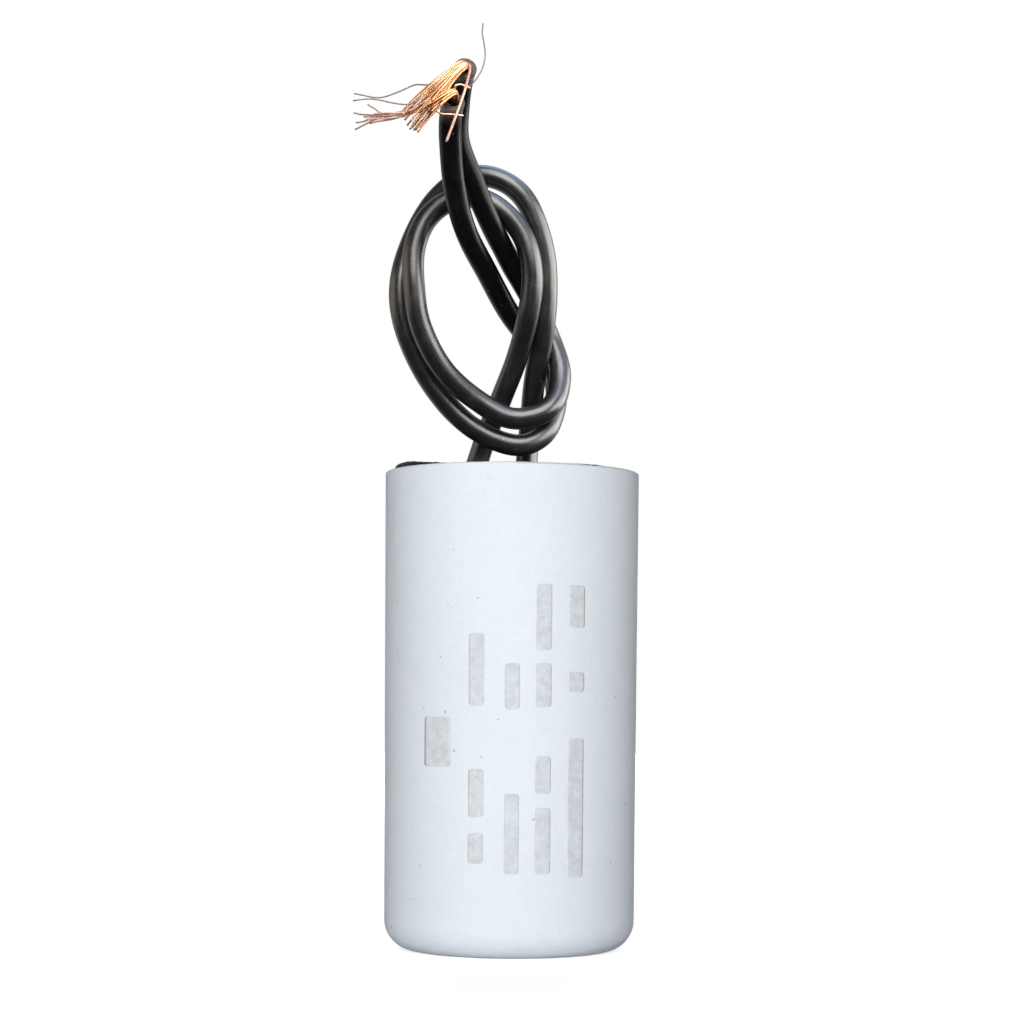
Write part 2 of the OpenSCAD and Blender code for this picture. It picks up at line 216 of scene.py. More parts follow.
def lead(name, route, seed, free_from):
    """An insulated lead: a slightly uneven tube with a cut face and an open bore. From
    free_from millimetres above the rim on its last run, its finish goes to the free ends':
    less reflective, and darker with painted shade."""
    line = smooth_line([place(p) for p in route], LEAD_POINTS)
    start = next(i for i, p in enumerate(line) if p.z > RIM - BURIED)
    line = line[start:]
    t = tangents(line)
    side = carried(t, Vector((0, 1, 0)))
    step = (line[1] - line[0]).length
    verts, uv, rings = [], [], []

    def add_ring(centre, along, across, radius, v, uneven):
        other = along.cross(across)
        ring = []
        for k in range(LEAD_SIDES):
            a = 2 * math.pi * k / LEAD_SIDES
            out = math.cos(a) * across + math.sin(a) * other
            wander = noise.noise((centre + out * LEAD_R) * UNEVEN_SCALE + Vector((seed, 0, 0)))
            ring.append(len(verts))
            verts.append(centre + out * (radius + uneven * wander))
            uv.append((k / LEAD_SIDES, v))
        rings.append(ring)

    for i, centre in enumerate(line[:-1]):
        add_ring(centre, t[i], side[i], LEAD_R, i * step / TEXTURE_RUN, LEAD_UNEVEN)
    end, along, across = line[-1], t[-1], side[-1]
    v_end = len(line) * step / TEXTURE_RUN
    for back, r in CUT_RINGS:
        add_ring(end - along * back * MM, along, across, r * MM, v_end, CUT_UNEVEN)
    first_cut = len(line) - 1 + EDGE_RINGS
    first_free = max(i for i, p in enumerate(line) if p.z < RIM + free_from * MM)

    def slot_after(i):
        """The material slot of the faces between ring i and the next."""
        if i >= first_cut + FACE_RINGS:
            return BORE_SLOT
        if i >= first_cut:
            return CUT_SLOT
        gone = (i - first_free) * step / FADE
        if gone < 0:
            return PVC_SLOT
        return FADING_SLOT + min(int(gone * FADE_STEPS), FADE_STEPS - 1)

    slots = [slot_after(i) for i in range(len(rings) - 1) for _ in range(LEAD_SIDES)]
    obj = new_object(name, verts, tube_faces(rings))
    set_uv(obj, uv)
    obj.data.polygons.foreach_set("material_index", slots + [PVC_SLOT, BORE_SLOT])
    reach = [(v - end).length for v in verts]
    mark(obj, "tip", [max(0.0, 1 - max(0.0, r - LEAD_R) / TIP_RUN) for r in reach])
    along_free = [(v // LEAD_SIDES - first_free) * step / FADE for v in range(len(verts))]
    mark(obj, "free", [min(max(f, 0.0), 1.0) for f in along_free])
    return obj, line, along


top_lead, top_line, top_out = lead("top_lead_insulation", TOP_ROUTE, 3, 22)
bottom_lead, bottom_line, bottom_out = lead("bottom_lead_insulation", BOTTOM_ROUTE, 11, 18.5)

# ---- Bare strands ----

# Places across a conductor, as shares of its width: round for a bunch, flat for a fan.
ROUND = [(0.0, 0.0)] + [
    (0.19 * ring * math.cos(k * math.pi / 3 / ring), 0.19 * ring * math.sin(k * math.pi / 3 / ring))
    for ring in (1, 2)
    for k in range(6 * ring)
]
FLAT = [(k / 16 - 0.5, 0.2 * (k * 2 % 3 - 1)) for k in range(17)]
STRAND_SIDES = 10
STRAND_POINTS, LOOSE_POINTS, FRAYED_POINTS = 52, 44, 24  # along a strand of each sort
STRAND_SIDE = Vector((0.3, 0.9, 0.2))  # a direction that no strand starts along
STRAIGHT = (1.5, 0.5, -0.5)  # mm behind the cut end, where each strand still runs straight
STRAY_STATIONS = 4  # how many stations after that it takes a strand to stray in full
JITTER = 0.35  # how far it strays anew at each station, for 1 of steady drift


def strand_object(name, lines, tones, dull, radius=STRAND_R, uneven=0.0):
    """Round strands. Each has a tone, and goes dull between two shares of its length."""
    verts, faces, tone_of, dull_of, uv = [], [], [], [], []
    for line, tone in zip(lines, tones):
        thick = radius * (1 + uneven * rng.uniform(-1, 1))
        t = tangents(line)
        side = carried(t, STRAND_SIDE)
        rings = []
        for i, centre in enumerate(line):
            other = t[i].cross(side[i])
            share = (i / (len(line) - 1) - dull[0]) / (dull[1] - dull[0])
            rings.append(range(len(verts), len(verts) + STRAND_SIDES))
            for k in range(STRAND_SIDES):
                a = 2 * math.pi * k / STRAND_SIDES
                verts.append(centre + thick * (math.cos(a) * side[i] + math.sin(a) * other))
                tone_of.append(tone)
                dull_of.append(min(max(share, 0.0), 1.0))
                uv.append((k / STRAND_SIDES, i / len(line)))
        faces += tube_faces(rings)
    obj = new_object(name, verts, faces)
    set_uv(obj, uv)
    mark(obj, "tone", tone_of)
    mark(obj, "dull", dull_of)
    return obj


def bundle(cut, out, stations, spots, twist, stray, cut_back):
    """Lines of strands out of a conductor, through stations of place, width and depth in mm.
    They stray by about stray mm, and each ends up to the share cut_back of its length early."""
    way = [(cut - back * MM * out, CONDUCTOR, CONDUCTOR) for back in STRAIGHT]
    way += [(place(p), wide * MM, deep * MM) for p, wide, deep in stations]
    centre = [w[0] for w in way]
    t = tangents(centre)
    side = carried(t, out.cross(centre[-1] - cut).normalized())
    lines = []
    for x0, y0 in spots:
        points = []
        drift = Vector([rng.uniform(-1, 1) for _ in range(3)])
        for i, (c, wide, deep) in enumerate(way):
            turn = twist * i / (len(way) - 1)
            x = x0 * math.cos(turn) - y0 * math.sin(turn)
            y = x0 * math.sin(turn) + y0 * math.cos(turn)
            free = min(1.0, max(0, i - len(STRAIGHT) + 1) / STRAY_STATIONS)
            jitter = Vector([rng.uniform(-1, 1) for _ in range(3)])
            up = t[i].cross(side[i])
            loose_by = stray * MM * free * (JITTER * jitter + free * drift)
            points.append(c + wide * x * side[i] + deep * y * up + loose_by)
        line = smooth_line(points, STRAND_POINTS)
        lines.append(line[: len(line) - int(rng.uniform(0, cut_back) * len(line))])
    return lines


def loose(start, points):
    """The line of a loose strand from inside its lead through points in mm."""
    return smooth_line([start] + [place(p) for p in points], LOOSE_POINTS)


top_cut, bottom_cut = top_line[-1], bottom_line[-1]

fan_lines = bundle(top_cut, top_out, [
    ((-7.0, -23.4, 51.2), 1.3, 1), ((-8.1, -24.4, 50.0), 1.6, 1), ((-9.4, -25.0, 48.4), 2.1, 1.1),
    ((-10.9, -25.2, 46.6), 2.8, 1.2), ((-12.4, -25.2, 44.8), 3.3, 1.3), ((-14.1, -25.2, 42.6), 3.8, 1.4),
], FLAT, math.radians(12), 0.28, 0.14)
bunch_lines = bundle(top_cut, top_out, [
    ((-6.9, -23.0, 51.3), 1, 0.8), ((-8.0, -24.0, 49.9), 1, 0.8), ((-9.6, -24.5, 48.2), 1.2, 0.8),
    ((-11.6, -24.7, 46.3), 1.4, 0.9), ((-13.2, -25.0, 44.9), 1.7, 1.2),
    ((-14.6, -25.2, 44.3), 1.8, 1.4), ((-16.4, -25.4, 44.0), 2.0, 1.7),
    ((-18.2, -25.2, 43.75), 2.2, 1.8), ((-19.8, -25.0, 43.4), 2.7, 1.9),
], ROUND[:7], math.radians(320), 0.14, 0.14)
front_lines = bundle(bottom_cut, bottom_out, [
    ((-8.0, -25.4, 47.1), 1.2, 1), ((-8.9, -26.2, 46.4), 1.7, 1), ((-9.9, -26.5, 45.3), 2.1, 1),
    ((-10.9, -26.5, 44.2), 2.4, 1.1), ((-12.0, -26.4, 43.1), 2.6, 1.2),
], ROUND[:14], math.radians(70), 0.32, 0.4)

TOP_LOOSE = [
    ((-6.7, -23.0, 51.9), (-7.9, -24.2, 50.7), (-9.3, -24.6, 49.5), (-10.4, -24.6, 48.6),
     (-11.5, -24.5, 48.35), (-13.1, -24.0, 48.45), (-15.0, -24.0, 47.6), (-17.0, -24.0, 46.85),
     (-18.3, -24.0, 46.75), (-19.6, -24.0, 47.0), (-20.95, -24.0, 47.25)),
    ((-6.9, -23.2, 51.7), (-8.2, -25.0, 50.2), (-10.4, -25.9, 48.0), (-12.2, -26.2, 46.2),
     (-13.4, -26.3, 45.4), (-14.4, -26.3, 45.3), (-16.1, -26.2, 45.55), (-17.6, -26.0, 45.95),
     (-19.2, -26.0, 46.05), (-20.95, -26.0, 45.8)),
    ((-6.2, -22.6, 51.6), (-5.9, -23.6, 50.8), (-6.1, -25.0, 49.3), (-6.55, -26.6, 47.0),
     (-7.4, -27.3, 44.2), (-8.1, -27.4, 42.2), (-8.8, -27.4, 40.2)),
]
BOTTOM_LOOSE = [
    ((-7.8, -24.6, 47.3), (-7.7, -25.2, 48.0), (-7.1, -24.8, 48.35), (-6.5, -23.6, 48.45),
     (-5.7, -21.4, 49.3), (-4.95, -20.0, 50.6), (-4.35, -19.4, 51.9), (-4.05, -19.1, 53.2),
     (-4.0, -19.0, 54.2), (-4.2, -19.0, 55.6), (-4.42, -19.0, 56.8), (-4.3, -19.0, 58.1)),
    ((-8.3, -24.8, 46.9), (-9.2, -25.8, 46.2), (-9.9, -25.8, 45.3), (-10.0, -25.6, 44.6),
     (-9.4, -25.4, 44.3), (-8.2, -25.2, 44.3), (-6.75, -24.4, 44.35)),
    ((-8.0, -24.6, 47.1), (-8.6, -25.6, 46.6), (-9.3, -26.0, 45.8), (-10.0, -25.9, 45.0),
     (-10.1, -25.8, 44.4)),
    ((-7.9, -24.7, 47.3), (-7.8, -25.3, 48.0), (-7.2, -24.9, 48.35), (-6.5, -23.7, 48.45),
     (-5.9, -22.2, 48.6)),
]
FRAYED = [
    ((-16.2, -25.6, 44.1), (-17.4, -25.4, 44.4), (-18.1, -25.3, 44.9), (-19.1, -25.3, 45.5)),
    ((-16.5, -25.6, 44.1), (-18.4, -25.4, 44.1), (-19.8, -25.2, 44.2), (-20.9, -25.2, 44.4)),
    ((-16.5, -25.6, 44.0), (-18.4, -25.3, 43.7), (-19.6, -25.2, 43.3), (-20.6, -25.2, 43.1)),
    ((-16.5, -25.5, 43.9), (-18.2, -25.3, 43.5), (-19.6, -25.2, 42.8), (-20.7, -25.2, 42.2)),
]
top_loose_lines = [loose(top_cut - MM * top_out, p) for p in TOP_LOOSE]
bottom_loose_lines = [loose(bottom_cut - MM * bottom_out, p) for p in BOTTOM_LOOSE]
frayed_lines = [smooth_line([place(q) for q in p], FRAYED_POINTS) for p in FRAYED]


def some_tones(count, low, high=1.0):
    return [rng.uniform(low, high) for _ in range(count)]


# The fan's tones are painted light: a painted highlight makes it palest in its middle and towards
# the front, and painted shade makes it brown behind and at its edges.
fan_lit_and_shaded_tones = [0.95 - 1.6 * abs(x) + 1.6 * y + rng.uniform(-0.2, 0.2) for x, y in FLAT]
top_fan = strand_object("top_lead_fan", fan_lines, fan_lit_and_shaded_tones, (0.85, 1.4), 0.13 * MM, 0.2)
top_bunch = strand_object(
    "top_lead_bunch", bunch_lines, some_tones(len(bunch_lines), 0.4), (0.5, 0.65), 0.115 * MM, 0.1
)
top_frayed = strand_object(
    "top_lead_frayed_strands", frayed_lines, some_tones(len(frayed_lines), 0.0, 0.5), (-2, -1)
)
top_loose = strand_object("top_lead_loose_strands", top_loose_lines[:2], [0.1, 0.2], (0.2, 0.4), 0.1 * MM)
top_front = strand_object("top_lead_front_strand", top_loose_lines[2:], [1.0], (-1, 0.3), 0.165 * MM)
bottom_fan = strand_object(
    "bottom_lead_fan", front_lines, some_tones(len(front_lines), 0.2), (1, 2), 0.125 * MM, 0.2
)
bottom_stray = strand_object(
    "bottom_lead_stray_strand", bottom_loose_lines[:1], [0.0], (0.2, 0.35), 0.1 * MM
)
bottom_loose = strand_object(
    "bottom_lead_loose_strands", bottom_loose_lines[1:], [0.95, 0.85, 0.9], (1, 2), 0.125 * MM
)

# ---- Resin ----

FILL_SIDES = 192
FILL_RINGS = 70  # from the middle of its top to the wall
FILL_CROWD = 0.9  # under 1, these rings come closer together towards the wall
FILL_GAP = 0.02 * MM  # between the fill and what it surrounds or fills
FILL_EDGE = 2.4 * MM  # how far its base edge is rounded off
EDGE_MIDDLE = 0.3  # where the middle of that rounding lies, as a share of it
MENISCUS, MENISCUS_RUN = 0.08 * MM, 0.7 * MM  # how high it creeps up the wall, and how wide
COLLAR, COLLAR_RUN = 1.1 * MM, 0.55 * MM  # the same at each lead
RIPPLES = ((0.10 * MM, 170, 0), (0.03 * MM, 700, 3))  # height, scale and seed


def inner_wall_r(z):
    """Inside radius of the can at height z."""
    return CAN_R - TAPER * (RIM - z) / RIM - WALL


LEAD_EXITS = [next(p for p in line if p.z > RIM) for line in (top_line, bottom_line)]


def resin_top(x, y):
    """Height of the cured resin above the rim's plane."""
    r = math.hypot(x, y)
    wall = CAN_R - WALL
    z = CROWN * (1 - (r / wall) ** 2)
    z += MENISCUS * math.exp(-(wall - r) / MENISCUS_RUN)
    for exit_point in LEAD_EXITS:
        d = math.hypot(x - exit_point.x, y - exit_point.y) - LEAD_R
        z += COLLAR * math.exp(-max(d, 0) / COLLAR_RUN)
    for height, scale, seed in RIPPLES:
        z += height * noise.noise(Vector((x, y, seed)) * scale)
    return z


def resin_fill():
    """The whole fill, with its uneven top and the ring-shaped space that the winding is in."""
    verts, rings, faces = [], [], []
    wall = CAN_R - WALL - FILL_GAP

    def add_ring(radius, height):
        ring = []
        for k in range(FILL_SIDES):
            a = 2 * math.pi * k / FILL_SIDES
            x, y = radius * math.cos(a), radius * math.sin(a)
            ring.append(len(verts))
            verts.append((x, y, height(x, y)))
        rings.append(ring)

    def join(a, b):
        for k in range(FILL_SIDES):
            j = (k + 1) % FILL_SIDES
            faces.append((a[k], b[k], b[j], a[j]))

    verts.append((0, 0, RIM + resin_top(0, 0)))
    for i in range(1, FILL_RINGS + 1):
        add_ring(wall * (i / FILL_RINGS) ** FILL_CROWD, lambda x, y: RIM + resin_top(x, y))
    low = FLOOR_T + FILL_GAP
    for z in (RIM - 2 * MM, RIM / 2, low + FILL_EDGE):
        add_ring(inner_wall_r(z) - FILL_GAP, lambda x, y, z=z: z)
    add_ring(inner_wall_r(low) - FILL_EDGE * EDGE_MIDDLE, lambda x, y: low + FILL_EDGE * EDGE_MIDDLE)
    add_ring(inner_wall_r(low) - FILL_EDGE, lambda x, y: low)
    for k in range(FILL_SIDES):
        faces.append((0, rings[0][k], rings[0][(k + 1) % FILL_SIDES]))
    for a, b in zip(rings, rings[1:]):
        join(a, b)
    faces.append(tuple(reversed(rings[-1])))
    outside = len(rings)
    outer, inner = WINDING_R + FILL_GAP, CORE_BORE_R - FILL_GAP
    bottom, top = WINDING_LOW - FILL_GAP, WINDING_HIGH + FILL_GAP
    for radius, z in ((outer, bottom), (outer, top), (inner, top), (inner, bottom)):
        add_ring(radius, lambda x, y, z=z: z)
    space = rings[outside:]
    for a, b in zip(space, space[1:] + space[:1]):
        join(a, b)
    return new_object("resin_fill", verts, faces)


SMEAR_STEP = 0.5  # degrees
SMEAR_ACROSS = 12
SMEAR_SUNK = 0.15 * MM  # how far its underside lies in the rim
SMEAR_BLUNT, SMEAR_ROUND = 2.5, 2.6  # how blunt its outline and its section are
SMEAR_TAPER = 0.96  # the share of its width that it loses towards its ends
SMEAR_LUMPS, SMEAR_WANDER = 0.18, 0.15  # unevenness: a share of its height, and mm of its edge


def rim_smear(name, start, stop, heights, inner, outer, seed):
    """Resin that ran onto the rim, from one angle to another, with its heights in mm. It
    reaches from inner to about outer mm inside the can's outside, and tapers at both ends."""
    steps = int((stop - start) / SMEAR_STEP)
    verts, rings = [], []
    for i in range(steps + 1):
        f = i / steps
        a = math.radians(start + (stop - start) * f)
        place_in = f * (len(heights) - 1)
        k = min(int(place_in), len(heights) - 2)
        h = heights[k] + (heights[k + 1] - heights[k]) * (place_in - k)
        h *= 1 + SMEAR_LUMPS * noise.noise(Vector((i * 0.21, seed, 0)))
        edge = outer + SMEAR_WANDER * noise.noise(Vector((i * 0.13, seed, 5)))
        in_r = CAN_R - inner * MM
        out_r = in_r + (inner - edge) * (1 - SMEAR_TAPER * abs(2 * f - 1) ** SMEAR_BLUNT) * MM
        ring = []
        for j in range(SMEAR_ACROSS + 1):
            g = j / SMEAR_ACROSS
            r = in_r + (out_r - in_r) * g
            drop = max(0.0, r - (CAN_R - RIM_EDGE))
            seat = -RIM_EDGE + math.sqrt(max(RIM_EDGE**2 - drop**2, 0))
            top = h * MM * (1 - abs(2 * g - 1) ** SMEAR_ROUND)
            ring.append(len(verts))
            verts.append((r * math.cos(a), r * math.sin(a), RIM + seat + top))
        for r in (out_r, in_r):
            ring.append(len(verts))
            verts.append((r * math.cos(a), r * math.sin(a), RIM - SMEAR_SUNK))
        rings.append(ring)
    return new_object(name, verts, tube_faces(rings))


fill = resin_fill()
smears = [
    rim_smear("rim_bead", 187, 236, (0.1, 0.4, 0.55, 0.65, 0.72, 0.74, 0.66, 0.52, 0.4, 0.3, 0.2),
              1.8, 0.25, 1),
    rim_smear("rim_smear_right", 293, 321, (0.01, 0.07, 0.09, 0.06, 0.11, 0.13, 0.02), 1.6, 0.15, 4),
    rim_smear("rim_smear_front", 237, 251, (0.01, 0.05, 0.03, 0.04, 0.01), 1.6, 0.2, 8),
]

# ---- Print: plain blocks where the can is printed, in millimetres and degrees ----

INK_CORNER = 0.5  # radius
CORNER_ROWS = (0, 0.06, 0.2, 0.4, 0.7, 1)  # heights in a corner as shares of its radius
INK_ROW = 1.5  # about the height of the rows between the corners
INK_COLUMNS = 10
INK_LIFT, INK_SUNK = 0.025, -0.05  # its outer and inner face, from the can's surface
INK_R = 17.25  # the can's radius at its middle height


def outside_r(z):
    """Outside radius of the can at height z."""
    return CAN_R - TAPER * (RIM - z) / RIM


def ink_block(name, low_angle, high_angle, low_z, high_z):
    """A thin printed block on the can, with rounded corners, at angles from the front."""
    corner, columns = INK_CORNER, INK_COLUMNS
    rows = [low_z + corner * z for z in CORNER_ROWS]
    steps = max(2, int((high_z - low_z - 2 * corner) / INK_ROW))
    for i in range(1, steps):
        rows.append(low_z + corner + (high_z - low_z - 2 * corner) * i / steps)
    rows += [high_z - corner * z for z in reversed(CORNER_ROWS)]
    verts, grids = [], []
    for lift in (INK_LIFT, INK_SUNK):
        grid = []
        for z in rows:
            edge = min(z - low_z, high_z - z, corner)
            inset = corner - math.sqrt(max(corner**2 - (corner - edge) ** 2, 0))
            inset = math.degrees(inset / INK_R)
            line = []
            for j in range(columns + 1):
                a = low_angle + inset + (high_angle - low_angle - 2 * inset) * j / columns
                a = math.radians(a)
                r = outside_r(z * MM) + lift * MM
                line.append(len(verts))
                verts.append((r * math.sin(a), -r * math.cos(a), z * MM))
            grid.append(line)
        grids.append(grid)
    faces = []
    outer, inner = grids
    for i in range(len(rows) - 1):
        for j in range(columns):
            faces.append((outer[i][j], outer[i][j + 1], outer[i + 1][j + 1], outer[i + 1][j]))
            faces.append((inner[i][j], inner[i + 1][j], inner[i + 1][j + 1], inner[i][j + 1]))
        faces.append((outer[i][0], outer[i + 1][0], inner[i + 1][0], inner[i][0]))
        faces.append((outer[i][-1], inner[i][-1], inner[i + 1][-1], outer[i + 1][-1]))
    for j in range(columns):
        faces.append((outer[0][j], inner[0][j], inner[0][j + 1], outer[0][j + 1]))
        faces.append((outer[-1][j], outer[-1][j + 1], inner[-1][j + 1], inner[-1][j]))
    return new_object(name, verts, faces)


# Each block's first and last angle, and its lowest and highest place
INK = [
    (-41, -27, 25, 31.5), (-18.5, -11.5, 12.5, 16.5), (-18.5, -11.5, 18.5, 24.8),
    (-18.5, -11.5, 33, 42.5), (-2.5, 4, 11.2, 21.6), (-2.5, 4, 32.5, 38.6),
    (11, 18, 11.2, 19.8), (11, 18, 21.6, 26.5), (11, 18, 32.8, 38.6), (11, 18, 40.3, 49),
    (26, 34, 10.7, 28.8), (26, 34, 34.9, 37.5), (26, 34, 43.3, 48.9),
]
ink = [ink_block(f"print_{i}", *spec) for i, spec in enumerate(INK)]

# ---- Materials ----

# Sockets of a Mix node that mixes colours, which share their names with its other ones
MIX_FACTOR, MIX_A, MIX_B, MIX_RESULT = 0, 6, 7, 2


class Nodes:
    """A node tree, with short calls that add nodes to it."""

    def __init__(self, tree):
        self.tree = tree
        tree.nodes.clear()

    def add(self, kind, values=None, **settings):
        """A node with these settings. Its inputs are linked to sockets or set to values."""
        node = self.tree.nodes.new("ShaderNode" + kind)
        for key, value in settings.items():
            setattr(node, key, value)
        for socket, value in (values or {}).items():
            if isinstance(value, bpy.types.NodeSocket):
                self.tree.links.new(value, node.inputs[socket])
            else:
                node.inputs[socket].default_value = value
        return node

    def position(self):
        return self.add("TexCoord").outputs["Object"]

    def noise(self, where, scale, detail=2.0, rough=0.5):
        return self.add(
            "TexNoise", {"Vector": where, "Scale": scale, "Detail": detail, "Roughness": rough}
        ).outputs["Fac"]

    def ramp(self, factor, low, high, to_low=0.0, to_high=1.0):
        return self.add(
            "MapRange",
            {"Value": factor, "From Min": low, "From Max": high, "To Min": to_low, "To Max": to_high},
        ).outputs["Result"]

    def mix(self, factor, a, b):
        values = {MIX_FACTOR: factor, MIX_A: a, MIX_B: b}
        return self.add("Mix", values, data_type="RGBA").outputs[MIX_RESULT]

    def math(self, what, a, b):
        return self.add("Math", {0: a, 1: b}, operation=what).outputs[0]

    def bump(self, height, strength, distance, after=None):
        values = {"Height": height, "Strength": strength, "Distance": distance}
        if after is not None:
            values["Normal"] = after
        return self.add("Bump", values).outputs["Normal"]


class Material(Nodes):
    """A material with one Principled shader."""

    def __init__(self, name, **sockets):
        self.material = bpy.data.materials.new(name)
        self.material.use_nodes = True
        super().__init__(self.material.node_tree)
        values = {socket.replace("_", " "): value for socket, value in sockets.items()}
        self.shader = self.add("BsdfPrincipled", values)
        self.out = self.add("OutputMaterial", {"Surface": self.shader.outputs[0]})

    def to(self, socket, value):
        self.tree.links.new(value, self.shader.inputs[socket])


def rgb(r, g, b):
    return (r, g, b, 1)


def can_plastic(name, base, worn):
    """White plastic: clouded, grained, specked and scratched."""
    m = Material(name, Specular_IOR_Level=0.04)
    where = m.position()
    colour = m.mix(m.ramp(m.noise(where, 55, 4, 0.6), 0.3, 0.7), base, worn)
    tinted = m.ramp(m.noise(where, 110, 3, 0.6), 0.5, 0.75, 0, 0.35)
    colour = m.mix(tinted, colour, rgb(0.80, 0.82, 0.81))
    clouded = m.ramp(m.noise(where, 380, 4, 0.65), 0.35, 0.7, 0, 0.45)
    colour = m.mix(clouded, colour, rgb(0.735, 0.78, 0.83))
    grain = m.ramp(m.noise(where, 2400, 2), 0.35, 0.75, 0, 0.3)
    colour = m.mix(grain, colour, rgb(0.68, 0.72, 0.76))
    cells = m.add("TexVoronoi", {"Vector": where, "Scale": 520}, feature="F1")
    near = m.ramp(cells.outputs["Distance"], 0.06, 0.12, 1, 0)
    few = m.ramp(m.noise(where, 480, 1), 0.60, 0.63, 0, 0.75)
    colour = m.mix(m.math("MULTIPLY", near, few), colour, rgb(0.36, 0.36, 0.33))
    turned = m.add("Mapping", {"Vector": where, "Rotation": (0.5, 0.3, 0.2)}).outputs["Vector"]
    drawn = m.add("Mapping", {"Vector": turned, "Scale": (1, 1, 0.05)}).outputs["Vector"]
    lines = m.ramp(m.noise(drawn, 1500, 1), 0.71, 0.74)
    scratch = m.math("MULTIPLY", lines, m.ramp(m.noise(where, 90, 2), 0.56, 0.64, 0, 0.3))
    colour = m.mix(scratch, colour, rgb(0.62, 0.64, 0.66))
    m.to("Base Color", colour)
    m.to("Roughness", m.ramp(m.noise(where, 300, 2), 0.3, 0.7, 0.54, 0.68))
    coarse = m.bump(m.noise(where, 420, 4, 0.6), 0.7, 0.11 * MM)
    fine = m.bump(m.noise(where, 1900, 2), 0.5, 0.022 * MM, coarse)
    m.to("Normal", fine)
    return m.material


def printed_ink():
    m = Material("print_ink", Roughness=0.6, Specular_IOR_Level=0.04)
    where = m.position()
    worn = m.ramp(m.noise(where, 900, 4, 0.7), 0.38, 0.62)
    m.to("Base Color", m.mix(worn, rgb(0.60, 0.615, 0.625), rgb(0.70, 0.72, 0.74)))
    m.to("Normal", m.bump(m.noise(where, 620, 2), 0.35, 0.04 * MM))
    return m.material


def resin():
    m = Material("black_resin", Specular_IOR_Level=0.15)
    where = m.position()
    cloud = m.noise(where, 260, 3)
    m.to("Base Color", m.mix(cloud, rgb(0.009, 0.009, 0.010), rgb(0.018, 0.018, 0.018)))
    m.to("Roughness", m.ramp(m.noise(where, 500, 3), 0.3, 0.7, 0.46, 0.6))
    m.to("Normal", m.bump(m.noise(where, 800, 3), 0.3, 0.03 * MM))
    return m.material


def insulation(name, level):
    """Black PVC: scuffed and dusty, darker with painted shade where the free attribute is 1,
    and browned where the tip attribute is high."""
    m = Material(name, Specular_IOR_Level=level)
    uv = m.add("UVMap", uv_map="along").outputs["UV"]
    where = m.position()
    free = m.add("Attribute", attribute_name="free").outputs["Fac"]
    stretched = m.add("Mapping", {"Vector": uv, "Scale": (26, 5, 1)}).outputs["Vector"]
    streak = m.noise(stretched, 1.0, 3, 0.6)
    scuff = m.noise(where, 420, 4, 0.65)
    knot = m.mix(m.ramp(scuff, 0.45, 0.75), rgb(0.006, 0.006, 0.006), rgb(0.02, 0.018, 0.018))
    # The free ends' darker colour is painted shade.
    free_end_painted_shade = m.mix(m.ramp(scuff, 0.5, 0.75), rgb(0.004, 0.004, 0.004), rgb(0.009, 0.008, 0.008))
    colour = m.mix(free, knot, free_end_painted_shade)
    cells = m.add("TexVoronoi", {"Vector": where, "Scale": 800}, feature="F1")
    near = m.ramp(cells.outputs["Distance"], 0.05, 0.12, 1, 0)
    dust = m.math("MULTIPLY", near, m.ramp(m.noise(where, 260, 2), 0.54, 0.62, 0, 0.45))
    colour = m.mix(dust, colour, rgb(0.40, 0.37, 0.33))
    tip = m.add("Attribute", attribute_name="tip").outputs["Fac"]
    colour = m.mix(m.ramp(tip, 0.3, 0.7, 0, 0.8), colour, rgb(0.055, 0.026, 0.019))
    colour = m.mix(m.ramp(tip, 0.7, 0.95), colour, rgb(0.16, 0.118, 0.104))
    m.to("Base Color", colour)
    rough = m.math("ADD", m.ramp(streak, 0.3, 0.7, 0.28, 0.38), m.ramp(scuff, 0.55, 0.8, 0, 0.1))
    m.to("Roughness", m.math("SUBTRACT", rough, m.ramp(free, 0, 1, 0, 0.04)))
    ribs = m.bump(streak, 0.35, 0.018 * MM)
    crossed = m.add("Mapping", {"Vector": uv, "Scale": (5, 55, 1)}).outputs["Vector"]
    crazed = m.bump(m.noise(crossed, 1.0, 2), 0.5, 0.024 * MM, ribs)
    m.to("Normal", m.bump(m.noise(where, 1500, 2), 0.3, 0.015 * MM, crazed))
    return m.material


def cut_insulation():
    m = Material("cut_pvc", Roughness=0.6, Specular_IOR_Level=0.2)
    where = m.position()
    grain = m.noise(where, 1400, 3, 0.6)
    m.to("Base Color", m.mix(grain, rgb(0.10, 0.058, 0.048), rgb(0.17, 0.115, 0.10)))
    m.to("Normal", m.bump(grain, 0.4, 0.05 * MM))
    return m.material


def bore():
    m = Material("conductor_bore", Roughness=0.6)
    grain = m.noise(m.position(), 1500, 2)
    m.to("Base Color", m.mix(grain, rgb(0.14, 0.035, 0.02), rgb(0.05, 0.014, 0.009)))
    return m.material


